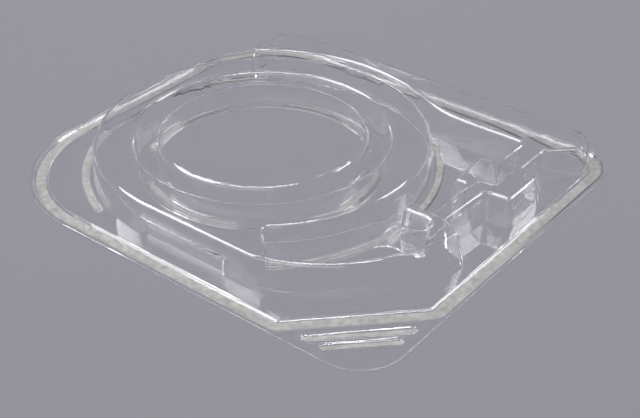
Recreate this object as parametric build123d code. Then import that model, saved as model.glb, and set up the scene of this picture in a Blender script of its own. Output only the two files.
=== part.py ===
from build123d import *
from math import cos, radians, sin, sqrt, tan
import os

# The tray is one thermoformed sheet and lies face down, on the band that its lid is sealed to.
# The plan is drawn about the middle of the coil channel, at the level of the seal face, z = 0.
# Each side of the sheet is built as a solid of its own, and the sheet is what lies between them.

# Sheet
gauge = 0.8
height = 19.5
web_lift = 1.2
wall_draft = 6.0
step_slope = 45.0
crown_radius = 2.6
crown_flats = 2

# Flange, with the room that it has beyond the coil channel on each side
left_room = 15.0
right_room = 61.6
front_room = 18.0
back_room = 27.5
front_corner = 69.0
back_corner = 60.0
right_corner = 24.0

# Seal band, a land that stands out of the web all round and cuts off the peel tab
margin = 1.7
band_width = 8.0
tab_leg = 68.0
tab_bend = 10.0
tab_inner_bend = 2.0

# Grip ribs of the peel tab
rib_width = 5.6
rib_pitch = 7.1
rib_inset = 13.8
rib_lengths = (52.5, 37.5)

# Coil channel, a ring, and the round pocket in its middle
coil_outer = 92.0
coil_width = 25.1
island_gap = 8.3

# Front pocket, which leaves the coil channel along a straight wall and ends in a wide bow
bow_radius = 94.3
bow_inset = 13.3
bow_overrun = 5.8
bow_draft = 15.0
bow_corner = 2.0
pocket_back = 6.0
shoulder_inset = 30.1
shoulder_slope = 30.0
shoulder_bend = 22.0

# Gap between the coil channel and the front pocket, and the finger well at its end
gap_width = 7.8
gap_start = 48.0
gap_end_radius = 1.2
well_width = 7.0
well_back = 15.8
well_reach = 18.2
well_mouth = 10.0
tongue_end = 4.7

# Stepped channel from the front pocket to the back pocket
channel_drop = 0.9
entry_end = 1.8
channel_inset = 41.6
entry_width = 14.6
entry_taper = 2.6
box_left_overhang = 9.0
box_right_overhang = 10.6
box_front = 23.4
box_width = 31.9
exit_offset = 0.2
exit_width = 17.4
outer_corner = 4.8
inner_corner = 1.2
exit_bend = 4.0

# Back pocket, a long bar with one wall that follows the coil channel
back_pocket_inset = 9.4
back_pocket_left = 74.8
back_pocket_front = 76.2
back_gap = 8.4
back_gap_shift = (-3.5, -4.5)
back_bend = 85.0
back_left_corner = 8.0
back_left_tip = 4.6
back_right_bend = 6.0

# Panel pressed into the foot of the straight front wall
panel_start = 0.8
panel_length = 50.0
panel_height = 6.0
panel_depth = 2.4
panel_slope = 50.0
panel_overrun = 4.8

# Arc feet that hold the web off whatever the open tray lies on
foot_width = 4.2
outer_feet_gap = 3.6
outer_feet = ((-160, -111), (-47, -7), (8, 47), (130, 150))
inner_foot_sweep = 54.0
inner_feet = 4

# Longer than the tray, for what only cuts
far = 400.0

standing = (Align.CENTER, Align.CENTER, Align.MIN)

# Radii and places that follow from the sizes, measured from the middle of the coil channel
coil_inner = coil_outer - coil_width
island_radius = coil_inner - island_gap
gap_outer = coil_outer + gap_width
outer_feet_radius = coil_outer + outer_feet_gap
left_reach = coil_outer + left_room
right_reach = coil_outer + right_room
front_reach = coil_outer + front_room
back_reach = coil_outer + back_room
bow_shift = right_reach - bow_inset - bow_radius
bow_drop = coil_outer + bow_overrun - bow_radius
shoulder_x = right_reach - shoulder_inset
well_end = gap_outer + well_reach
entry_left = right_reach - channel_inset
exit_left = entry_left + exit_offset
exit_right = exit_left + exit_width
box_left = entry_left - box_left_overhang
box_right = exit_right + box_right_overhang

# How far a step's outline moves between the two sides of the sheet, so that its slope keeps the gauge
step_shift = gauge * (1 - sin(radians(step_slope))) / cos(radians(step_slope))


def lean(rise, angle):
    """How far a wall at that draft angle leans over while it rises."""
    return rise * tan(radians(angle))


def on_circle(radius, angle):
    return radius * cos(radians(angle)), radius * sin(radians(angle))


def box_between(x0, x1, y0, y1):
    return Pos((x0 + x1) / 2, (y0 + y1) / 2) * Rectangle(x1 - x0, y1 - y0)


def rounded(outline, point, radius):
    """Rounds the corner of an outline that lies nearest to a point."""
    return fillet(outline.vertices().sort_by_distance((*point, 0))[0], radius)


def sunk(outline, top, depth, angle):
    """A solid that narrows downwards from an outline at its top."""
    turned = extrude(mirror(outline, about=Plane.XZ), depth, taper=angle)
    return Pos(0, 0, top) * Rot(X=180) * turned


def risen(outline, bottom, rise, angle):
    """A solid that narrows upwards from an outline at its bottom."""
    return Pos(0, 0, bottom) * extrude(outline, rise, taper=angle)


# Flange and seal band


def flange_outline(inset):
    x0, x1 = inset - left_reach, right_reach - inset
    y0, y1 = inset - front_reach, back_reach - inset
    plate = box_between(x0, x1, y0, y1)
    plate = rounded(plate, (x0, y0), front_corner - inset)
    plate = rounded(plate, (x0, y1), back_corner - inset)
    return fillet(plate.vertices().group_by(Axis.X)[-1], right_corner - inset)


def on_tab(distance):
    """The place on the tab's middle line, at that distance from its foot, turned across the tab."""
    middle = (right_reach - front_reach) / 2
    reach = (right_reach + front_reach - tab_leg) / 2 + distance / sqrt(2)
    return Pos(middle + reach, middle - reach) * Rot(Z=-45)


def band_outline(inset, bend):
    """The flange's outline moved in, with the tab cut off and both ends of the cut rounded."""
    cut = on_tab(margin + band_width - inset) * Pos(far / 2, 0) * Rectangle(far, far)
    outline = flange_outline(inset) - cut
    ends = outline.vertices().sort_by(lambda v: v.Y - v.X)[:2]
    return fillet(ends, bend)


def tab_ribs(width):
    ribs = Sketch()
    for row, length in enumerate(rib_lengths):
        across = on_tab(rib_inset + row * rib_pitch) * Rot(Z=90)
        ribs += across * SlotOverall(length + width - rib_width, width)
    return ribs


def arc_feet(width):
    feet = Sketch()
    for start, end in outer_feet:
        feet += SlotArc(CenterArc((0, 0), outer_feet_radius, start, end - start), width)
    radius = (coil_inner + island_radius) / 2
    for index in range(inner_feet):
        start = index * 360 / inner_feet - inner_foot_sweep / 2
        feet += SlotArc(CenterArc((0, 0), radius, start, inner_foot_sweep), width)
    return feet


def lands(top, skin):
    """The band, the ribs and the arc feet: solids that reach from the web down to the seal face."""
    band = sunk(band_outline(margin + skin, tab_bend), top, web_lift, step_slope)
    inset = margin + band_width - skin - lean(web_lift, step_slope)
    hole = risen(band_outline(inset, tab_inner_bend), top - web_lift, web_lift, step_slope)
    ribs = sunk(tab_ribs(rib_width - 2 * skin), top, web_lift, step_slope)
    feet = sunk(arc_feet(foot_width - 2 * skin), top, web_lift, 0)
    return band - hole + ribs + feet


# Pockets, as solids with their outer surface, or their inner one where skin is the gauge


def coil_outline():
    """The coil channel and the front pocket, parted by the gap and the finger well."""
    straight = box_between(0, bow_shift, -coil_outer, -pocket_back)
    bow = box_between(bow_shift, far, -coil_outer, -pocket_back)
    bow = bow & Pos(bow_shift, -bow_drop) * Circle(bow_radius)
    beyond_shoulder = Pos(far / 2, far / 2) * Rectangle(far, far)
    pocket = straight + bow - Pos(shoulder_x, -pocket_back) * Rot(Z=-shoulder_slope) * beyond_shoulder
    gap = Circle(gap_outer) & Rot(Z=-gap_start) * Pos(0, far / 2) * Rectangle(2 * far, far)
    length = well_end - coil_outer
    well = Pos(well_end - length / 2, -well_back - well_width / 2) * SlotOverall(length, well_width)
    outline = Circle(coil_outer) + (pocket - gap - well)
    outline = rounded(outline, on_circle(coil_outer, -gap_start), gap_end_radius)
    outline = rounded(outline, on_circle(gap_outer, -gap_start), gap_end_radius)
    bends = ((well_back + well_width, well_mouth), (well_back, tongue_end), (pocket_back, tongue_end))
    for depth, radius in bends:
        outline = rounded(outline, (sqrt(gap_outer**2 - depth**2), -depth), radius)
    return rounded(outline, (shoulder_x, -pocket_back), shoulder_bend)


def channel_outline():
    """The back pocket and the stepped channel that leads to it."""
    back_pocket_right = right_reach - back_pocket_inset
    bar = flange_outline(back_pocket_inset) & box_between(-back_pocket_left, far, 0, far)
    bar = bar - Pos(*back_gap_shift) * Circle(coil_outer + back_gap)
    bar = bar - box_between(0, far, -far, back_pocket_front)
    bar = bar - Pos(exit_right, back_pocket_front) * Rot(Z=-45) * Pos(far / 2, 0) * Rectangle(far, far)
    bend = (back_pocket_right, back_pocket_front + back_pocket_right - exit_right)
    bar = rounded(bar, bend, back_right_bend)
    tip, corner = bar.vertices().group_by(Axis.X)[0].sort_by(Axis.Y)
    bar = rounded(bar, (corner.X, corner.Y), back_left_corner)
    bar = rounded(bar, (tip.X, tip.Y), back_left_tip)
    knee = sqrt((coil_outer + back_gap) ** 2 - (back_pocket_front - back_gap_shift[1]) ** 2)
    bar = rounded(bar, (knee + back_gap_shift[0], back_pocket_front), back_bend)
    box_back = box_front + box_width
    entry_right = entry_left + entry_width
    entry_start = entry_end - well_back
    near_side = ((entry_right - entry_taper, entry_start), (entry_right, box_front))
    far_side = ((entry_right, box_back), (entry_left, box_back), (entry_left, entry_start))
    entry = make_face(Polyline(*near_side, *far_side, close=True))
    box = box_between(box_left, box_right, box_front, box_back)
    exit = box_between(exit_left, exit_right, box_back - gauge, back_pocket_front + gauge)
    steps = entry + box + exit
    for x in (box_left, box_right):
        for y in (box_front, box_back):
            steps = rounded(steps, (x, y), outer_corner)
    outline = bar + steps
    for point in ((entry_left, box_front), (entry_right, box_front), (exit_left, back_pocket_front)):
        outline = rounded(outline, point, inner_corner)
    for x in (exit_left, exit_right):
        outline = rounded(outline, (x, box_back), inner_corner)
    return rounded(outline, (exit_right, back_pocket_front), exit_bend)


def crown_steps(skin):
    """The rise and the slope of each flat that follows the crown's arc from the wall to the top."""
    turn = (90 - wall_draft) / crown_flats
    steps = []
    for index in range(crown_flats):
        start = wall_draft + turn * index
        rise = (crown_radius - skin) * (sin(radians(start + turn)) - sin(radians(start)))
        steps.append((rise, start + turn / 2))
    return steps


def wall_rise(top, skin):
    return top - skin - sum(rise for rise, slope in crown_steps(skin))


def walled(outline, top, skin):
    """The drafted wall of a pocket, up to its crown."""
    shape = offset(outline, -skin / cos(radians(wall_draft))) if skin else outline
    return extrude(shape, wall_rise(top, skin), taper=wall_draft)


def crowned(body, skin):
    """Closes a body with its crown."""
    for rise, slope in crown_steps(skin):
        body += extrude(body.faces().sort_by(Axis.Z)[-1], rise, taper=slope)
    return body


def cone(reach, bottom, rise, angle):
    """A cone that leans inwards by that angle, or outwards where it is negative."""
    return Pos(0, 0, bottom) * Cone(reach, reach - lean(rise, angle), rise, align=standing)


def coil_body(skin):
    wall = wall_rise(height, skin)
    bow = cone(bow_radius - skin / cos(radians(bow_draft)), 0, wall, bow_draft)
    beside_bow = Pos(bow_shift - far / 2, 0) * Box(far, far, height, align=standing)
    body = walled(coil_outline(), height, skin) & (Pos(bow_shift, -bow_drop) * bow + beside_bow)
    body = crowned(body, skin)
    corner = (bow_shift + bow_radius, -pocket_back, height / 2)
    slanted = body.edges().filter_by(Plane.XY, reverse=True)
    body = fillet(slanted.sort_by_distance(corner)[: 1 + crown_flats], bow_corner)
    bottom, reach = 0, coil_inner + skin / cos(radians(wall_draft))
    for rise, slope in ((wall, wall_draft), *crown_steps(skin)):
        body -= cone(reach, bottom, rise, -slope)
        bottom += rise
        reach += lean(rise, slope)
    return body


def island_body(skin):
    return crowned(walled(Circle(island_radius), height, skin), skin)


def channel_body(skin):
    return crowned(walled(channel_outline(), height - channel_drop, skin), skin)


def front_panel(floor, skin):
    """The space of the panel that is pressed into the foot of the straight front wall, with sloping ends."""
    foot = (panel_start + panel_length / 2, panel_depth - coil_outer, 0)
    back = Plane(foot, x_dir=(1, 0, 0), z_dir=(0, -1, 0)) * Rot(X=-wall_draft) * Pos(0, 0, -skin)
    half_height = web_lift + gauge + panel_height + skin
    outline = Rectangle(panel_length + 2 * skin, 2 * half_height)
    space = extrude(back * outline, panel_depth + panel_overrun, taper=-panel_slope)
    return space & Pos(0, -coil_outer, floor) * Box(far, far, height, align=standing)


def formed(slab, floor, skin):
    """One side of the sheet: a slab with every pocket on it."""
    return slab + coil_body(skin) + island_body(skin) + channel_body(skin) - front_panel(floor, skin)


if __name__ == "__main__":
    outer = formed(extrude(flange_outline(0), web_lift + gauge), web_lift + gauge, 0)
    outer = outer - lands(web_lift + gauge, step_shift)
    inner = formed(Box(far, far, web_lift, align=standing), web_lift, gauge)
    inner = inner - lands(web_lift, 0)
    tray = Pos((left_reach - right_reach) / 2, (front_reach - back_reach) / 2, 0) * (outer - inner)
    os.makedirs("parts", exist_ok=True)
    export_step(tray, "parts/blister_tray.step")
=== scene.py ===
import math
import bpy
from mathutils import Matrix, Vector

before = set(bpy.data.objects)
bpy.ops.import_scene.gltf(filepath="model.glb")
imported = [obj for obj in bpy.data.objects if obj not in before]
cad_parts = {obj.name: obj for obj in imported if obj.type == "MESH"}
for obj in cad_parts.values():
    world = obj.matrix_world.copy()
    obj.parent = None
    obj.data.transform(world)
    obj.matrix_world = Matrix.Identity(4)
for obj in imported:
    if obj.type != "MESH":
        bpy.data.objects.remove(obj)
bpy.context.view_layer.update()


# The tray
# One sheet of clear plastic, drawn warm over a mould, so it is thin, glossy and a little wavy.
# Where the mould pressed it flat, on the seal band, the grip ribs and the arc feet, it is frosted.

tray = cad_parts["blister_tray"]

# Triangles closer than the weld are joined, and bends under the crown bend are parts of one round crown.
# The pressed level lies between the top of the pressed faces and the web, and a pressed face looks
# up or down by more than the flat share.
weld = 0.000002
crown_bend = math.radians(43.5)
pressed_level = 0.00085
flat_share = 0.9


def add_node(tree, kind, values=None, **settings):
    """Adds a node to a tree, with these settings and with these values on its inputs."""
    node = tree.nodes.new(kind)
    for name, setting in settings.items():
        setattr(node, name, setting)
    for socket, value in (values or {}).items():
        node.inputs[socket].default_value = value
    return node


def finish_sheet(sheet, clear, frosted):
    """Joins the sheet's triangles, shades its crowns round, and frosts the flat faces that were pressed."""
    tree = bpy.data.node_groups.new("finished sheet", "GeometryNodeTree")
    inputs = {
        "Weld": ("NodeSocketFloat", weld),
        "Crown bend": ("NodeSocketFloat", crown_bend),
        "Pressed level": ("NodeSocketFloat", pressed_level),
        "Flat share": ("NodeSocketFloat", flat_share),
        "Clear": ("NodeSocketMaterial", clear),
        "Frosted": ("NodeSocketMaterial", frosted),
    }
    tree.interface.new_socket("Sheet", in_out="INPUT", socket_type="NodeSocketGeometry")
    for name, (kind, value) in inputs.items():
        tree.interface.new_socket(name, in_out="INPUT", socket_type=kind)
    tree.interface.new_socket("Sheet", in_out="OUTPUT", socket_type="NodeSocketGeometry")
    link = tree.links.new
    start = add_node(tree, "NodeGroupInput")
    end = add_node(tree, "NodeGroupOutput")

    # one joined mesh, smooth but for its sharp bends
    join = add_node(tree, "GeometryNodeMergeByDistance")
    smooth = add_node(tree, "GeometryNodeSetShadeSmooth", {"Shade Smooth": True}, domain="FACE")
    bend = add_node(tree, "GeometryNodeInputMeshEdgeAngle")
    in_crown = add_node(tree, "FunctionNodeCompare", data_type="FLOAT", operation="LESS_THAN")
    keep_bends = add_node(tree, "GeometryNodeSetShadeSmooth", domain="EDGE")
    link(start.outputs["Sheet"], join.inputs["Geometry"])
    link(start.outputs["Weld"], join.inputs["Distance"])
    link(join.outputs["Geometry"], smooth.inputs["Geometry"])
    link(bend.outputs["Unsigned Angle"], in_crown.inputs["A"])
    link(start.outputs["Crown bend"], in_crown.inputs["B"])
    link(smooth.outputs["Geometry"], keep_bends.inputs["Geometry"])
    link(in_crown.outputs["Result"], keep_bends.inputs["Shade Smooth"])

    # the pressed faces lie low and flat
    place = add_node(tree, "GeometryNodeInputPosition")
    height = add_node(tree, "ShaderNodeSeparateXYZ")
    low_down = add_node(tree, "FunctionNodeCompare", data_type="FLOAT", operation="LESS_THAN")
    facing = add_node(tree, "GeometryNodeInputNormal")
    upward = add_node(tree, "ShaderNodeSeparateXYZ")
    up_or_down = add_node(tree, "ShaderNodeMath", operation="ABSOLUTE")
    flat = add_node(tree, "FunctionNodeCompare", data_type="FLOAT", operation="GREATER_THAN")
    pressed = add_node(tree, "FunctionNodeBooleanMath", operation="AND")
    link(place.outputs["Position"], height.inputs["Vector"])
    link(height.outputs["Z"], low_down.inputs["A"])
    link(start.outputs["Pressed level"], low_down.inputs["B"])
    link(facing.outputs["Normal"], upward.inputs["Vector"])
    link(upward.outputs["Z"], up_or_down.inputs[0])
    link(up_or_down.outputs["Value"], flat.inputs["A"])
    link(start.outputs["Flat share"], flat.inputs["B"])
    link(low_down.outputs["Result"], pressed.inputs[0])
    link(flat.outputs["Result"], pressed.inputs[1])

    clear_all = add_node(tree, "GeometryNodeSetMaterial")
    frost_pressed = add_node(tree, "GeometryNodeSetMaterial")
    link(keep_bends.outputs["Geometry"], clear_all.inputs["Geometry"])
    link(start.outputs["Clear"], clear_all.inputs["Material"])
    link(clear_all.outputs["Geometry"], frost_pressed.inputs["Geometry"])
    link(start.outputs["Frosted"], frost_pressed.inputs["Material"])
    link(pressed.outputs["Boolean"], frost_pressed.inputs["Selection"])
    link(frost_pressed.outputs["Geometry"], end.inputs["Sheet"])

    finish = sheet.modifiers.new("finished sheet", "NODES")
    finish.node_group = tree
    for socket in tree.interface.items_tree:
        if socket.in_out == "INPUT" and socket.name in inputs:
            finish[socket.identifier] = inputs[socket.name][1]
    weigh = sheet.modifiers.new("flat faces stay flat", "WEIGHTED_NORMAL")
    weigh.mode = "FACE_AREA"
    weigh.weight = 90
    weigh.keep_sharp = True


def waves_and_wear():
    """A shader group: the shallow waves of a drawn sheet as a normal, and its handling marks as a value."""
    group = bpy.data.node_groups.new("drawn sheet", "ShaderNodeTree")
    group.interface.new_socket("Wave height", in_out="INPUT", socket_type="NodeSocketFloat")
    group.interface.new_socket("Normal", in_out="OUTPUT", socket_type="NodeSocketVector")
    group.interface.new_socket("Handling", in_out="OUTPUT", socket_type="NodeSocketFloat")
    link = group.links.new
    start = add_node(group, "NodeGroupInput")
    end = add_node(group, "NodeGroupOutput")
    place = add_node(group, "ShaderNodeTexCoord")
    waves = add_node(group, "ShaderNodeTexNoise", {"Scale": 22.0, "Detail": 1.5})
    wavy = add_node(group, "ShaderNodeBump")
    marks = add_node(group, "ShaderNodeTexNoise", {"Scale": 35.0, "Detail": 6.0})
    link(place.outputs["Object"], waves.inputs["Vector"])
    link(start.outputs["Wave height"], wavy.inputs["Distance"])
    link(waves.outputs["Fac"], wavy.inputs["Height"])
    link(wavy.outputs["Normal"], end.inputs["Normal"])
    link(place.outputs["Object"], marks.inputs["Vector"])
    link(marks.outputs["Fac"], end.inputs["Handling"])
    return group


def soften_shadow(tree, plastic, shadow_colour):
    """Lets light through a sheet where it would throw a shadow, so that the shadow has only this colour."""
    output = add_node(tree, "ShaderNodeOutputMaterial")
    through = add_node(tree, "ShaderNodeBsdfTransparent", {"Color": shadow_colour})
    rays = add_node(tree, "ShaderNodeLightPath")
    either = add_node(tree, "ShaderNodeMixShader")
    tree.links.new(rays.outputs["Is Shadow Ray"], either.inputs["Fac"])
    tree.links.new(plastic.outputs["BSDF"], either.inputs[1])
    tree.links.new(through.outputs["BSDF"], either.inputs[2])
    tree.links.new(either.outputs["Shader"], output.inputs["Surface"])


def clear_plastic(drawn_sheet):
    """The sheet as it was drawn: clear, glossy, slightly wavy, and duller where it was handled."""
    material = bpy.data.materials.new("clear sheet")
    material.use_nodes = True
    tree = material.node_tree
    tree.nodes.clear()
    link = tree.links.new
    plastic = add_node(
        tree,
        "ShaderNodeBsdfPrincipled",
        {"Base Color": (1.0, 0.998, 1.0, 1.0), "IOR": 1.57, "Transmission Weight": 1.0},
    )
    drawn = add_node(tree, "ShaderNodeGroup", node_tree=drawn_sheet)
    drawn.inputs["Wave height"].default_value = 0.00025
    gloss = add_node(
        tree,
        "ShaderNodeMapRange",
        {"From Min": 0.45, "From Max": 0.75, "To Min": 0.02, "To Max": 0.07},
    )
    link(drawn.outputs["Normal"], plastic.inputs["Normal"])
    link(drawn.outputs["Handling"], gloss.inputs["Value"])
    link(gloss.outputs["Result"], plastic.inputs["Roughness"])
    soften_shadow(tree, plastic, (0.985, 0.984, 0.988, 1.0))
    return material


def frosted_plastic(drawn_sheet):
    """The sheet where it was pressed: finely grained, and mottled where the mould bit less or more."""
    material = bpy.data.materials.new("frosted sheet")
    material.use_nodes = True
    tree = material.node_tree
    tree.nodes.clear()
    link = tree.links.new
    plastic = add_node(tree, "ShaderNodeBsdfPrincipled", {"IOR": 1.57, "Transmission Weight": 0.35})
    drawn = add_node(tree, "ShaderNodeGroup", node_tree=drawn_sheet)
    drawn.inputs["Wave height"].default_value = 0.0002
    place = add_node(tree, "ShaderNodeTexCoord")
    grain = add_node(tree, "ShaderNodeTexNoise", {"Scale": 900.0, "Detail": 2.0})
    grained = add_node(tree, "ShaderNodeBump", {"Distance": 0.0001})
    link(place.outputs["Object"], grain.inputs["Vector"])
    link(grain.outputs["Fac"], grained.inputs["Height"])
    link(drawn.outputs["Normal"], grained.inputs["Normal"])
    link(grained.outputs["Normal"], plastic.inputs["Normal"])

    patches = add_node(tree, "ShaderNodeTexNoise", {"Scale": 300.0, "Detail": 5.0})
    frost = add_node(
        tree,
        "ShaderNodeMapRange",
        {"From Min": 0.35, "From Max": 0.65, "To Min": 0.5, "To Max": 0.7},
    )
    mottle = add_node(tree, "ShaderNodeMapRange", {"From Min": 0.35, "From Max": 0.65})
    bitten = add_node(
        tree,
        "ShaderNodeMix",
        {"A": (0.38, 0.386, 0.373, 1.0), "B": (0.62, 0.628, 0.61, 1.0)},
        data_type="RGBA",
    )
    link(place.outputs["Object"], patches.inputs["Vector"])
    link(patches.outputs["Fac"], frost.inputs["Value"])
    link(frost.outputs["Result"], plastic.inputs["Roughness"])
    link(patches.outputs["Fac"], mottle.inputs["Value"])
    link(mottle.outputs["Result"], bitten.inputs["Factor"])
    link(bitten.outputs["Result"], plastic.inputs["Base Color"])
    soften_shadow(tree, plastic, (0.85, 0.85, 0.85, 1.0))
    return material


drawn_sheet = waves_and_wear()
clear_sheet = clear_plastic(drawn_sheet)
frosted_sheet = frosted_plastic(drawn_sheet)
tray.data.materials.clear()
tray.data.materials.append(clear_sheet)
tray.data.materials.append(frosted_sheet)
finish_sheet(tray, clear_sheet, frosted_sheet)


# The studio floor
# Plain pale paper that runs back out of sight, with the tray lying on it. Past its edge, and in what the
# sheet mirrors, the world has the paper's colour.

floor_colour = (0.305, 0.295, 0.335, 1.0)
floor_size = 60.0
bpy.ops.mesh.primitive_plane_add(size=floor_size, location=(0.0, 0.0, 0.0))
floor = bpy.context.object
floor.name = "floor"
paper = bpy.data.materials.new("backdrop paper")
paper.use_nodes = True
paper_shader = paper.node_tree.nodes["Principled BSDF"]
paper_shader.inputs["Base Color"].default_value = floor_colour
paper_shader.inputs["Roughness"].default_value = 0.9
paper_shader.inputs["Specular IOR Level"].default_value = 0.1
floor.data.materials.append(paper)

world = bpy.data.worlds.new("studio")
bpy.context.scene.world = world
world.use_nodes = True
studio = world.node_tree
backdrop = studio.nodes["Background"]
backdrop.inputs["Color"].default_value = floor_colour
seen_by = add_node(studio, "ShaderNodeLightPath")
camera_or_gloss = add_node(studio, "ShaderNodeMath", operation="MAXIMUM")
or_through = add_node(studio, "ShaderNodeMath", operation="MAXIMUM")
studio.links.new(seen_by.outputs["Is Camera Ray"], camera_or_gloss.inputs[0])
studio.links.new(seen_by.outputs["Is Glossy Ray"], camera_or_gloss.inputs[1])
studio.links.new(camera_or_gloss.outputs["Value"], or_through.inputs[0])
studio.links.new(seen_by.outputs["Is Transmission Ray"], or_through.inputs[1])
studio.links.new(or_through.outputs["Value"], backdrop.inputs["Strength"])


# Softboxes and camera
# Strips at the left, at the right and overhead and a low card in front show only as reflections in the sheet.
# A wide soft key light lights the floor evenly. The camera stands where the photograph was taken.

strip_distance = 3.0
key_distance = 2.5


def softbox(name, toward, along, distance, size, radiance):
    """A rectangular lamp seen in that direction from the tray, with its first side along another."""
    side_length, other_length = size
    data = bpy.data.lights.new(name, "AREA")
    data.shape = "RECTANGLE"
    data.size = side_length
    data.size_y = other_length
    data.energy = radiance * math.pi * side_length * other_length
    lamp = bpy.data.objects.new(name, data)
    bpy.context.scene.collection.objects.link(lamp)
    out = Vector(toward).normalized()
    side = Vector(along) - out * out.dot(Vector(along))
    side.normalize()
    turned = Matrix((side, out.cross(side), out)).transposed()
    lamp.matrix_world = Matrix.Translation(out * distance) @ turned.to_4x4()
    return lamp


left = softbox("left softbox", (-0.57, -0.25, 0.78), (0.0, -0.9, -0.3), strip_distance, (2.2, 1.85), 7.5)
right = softbox("right softbox", (0.42, 0.65, 0.60), (0.82, 0.0, -0.57), strip_distance, (1.7, 0.9), 6.0)
top = softbox("top softbox", (0.118, -0.149, 0.982), (0.62, -0.78, 0.0), strip_distance, (0.5, 2.2), 18.0)
front = softbox("front card", (0.0, -0.857, 0.515), (1.0, 0.0, 0.0), strip_distance, (6.0, 1.2), 1.6)
for strip in (left, right, top, front):
    strip.visible_diffuse = False
key = softbox("key light", (-0.1, 0.1, 1.0), (1.0, 0.0, 0.0), key_distance, (3.0, 3.0), 3.2)
key.visible_glossy = False
key.visible_transmission = False
key.data.cycles.use_multiple_importance_sampling = False

lens_place = (0.3441, -0.41675, 0.3366)
heading = (-0.623, 0.782)
looks_down = math.radians(33.687)
photo_width = 640
focal_length_in_pixels = 1183.6
sensor_width = 36.0
look = Vector((heading[0] * math.cos(looks_down), heading[1] * math.cos(looks_down), -math.sin(looks_down)))
camera_data = bpy.data.cameras.new("camera")
camera_data.sensor_width = sensor_width
camera_data.lens = sensor_width * focal_length_in_pixels / photo_width
camera_data.clip_start = 0.01
camera_data.clip_end = 100.0
camera = bpy.data.objects.new("camera", camera_data)
bpy.context.scene.collection.objects.link(camera)
camera.location = lens_place
camera.rotation_mode = "QUATERNION"
camera.rotation_quaternion = look.to_track_quat("-Z", "Y")
bpy.context.scene.camera = camera

bpy.context.scene.view_settings.view_transform = "Standard"

# light runs back and forth many times inside the thin sheet before it comes out at an edge
turns_in_sheet = 160
cycles = bpy.context.scene.cycles
cycles.caustics_refractive = False
cycles.caustics_reflective = False
cycles.max_bounces = turns_in_sheet
cycles.transmission_bounces = turns_in_sheet
cycles.glossy_bounces = turns_in_sheet
cycles.transparent_max_bounces = 32
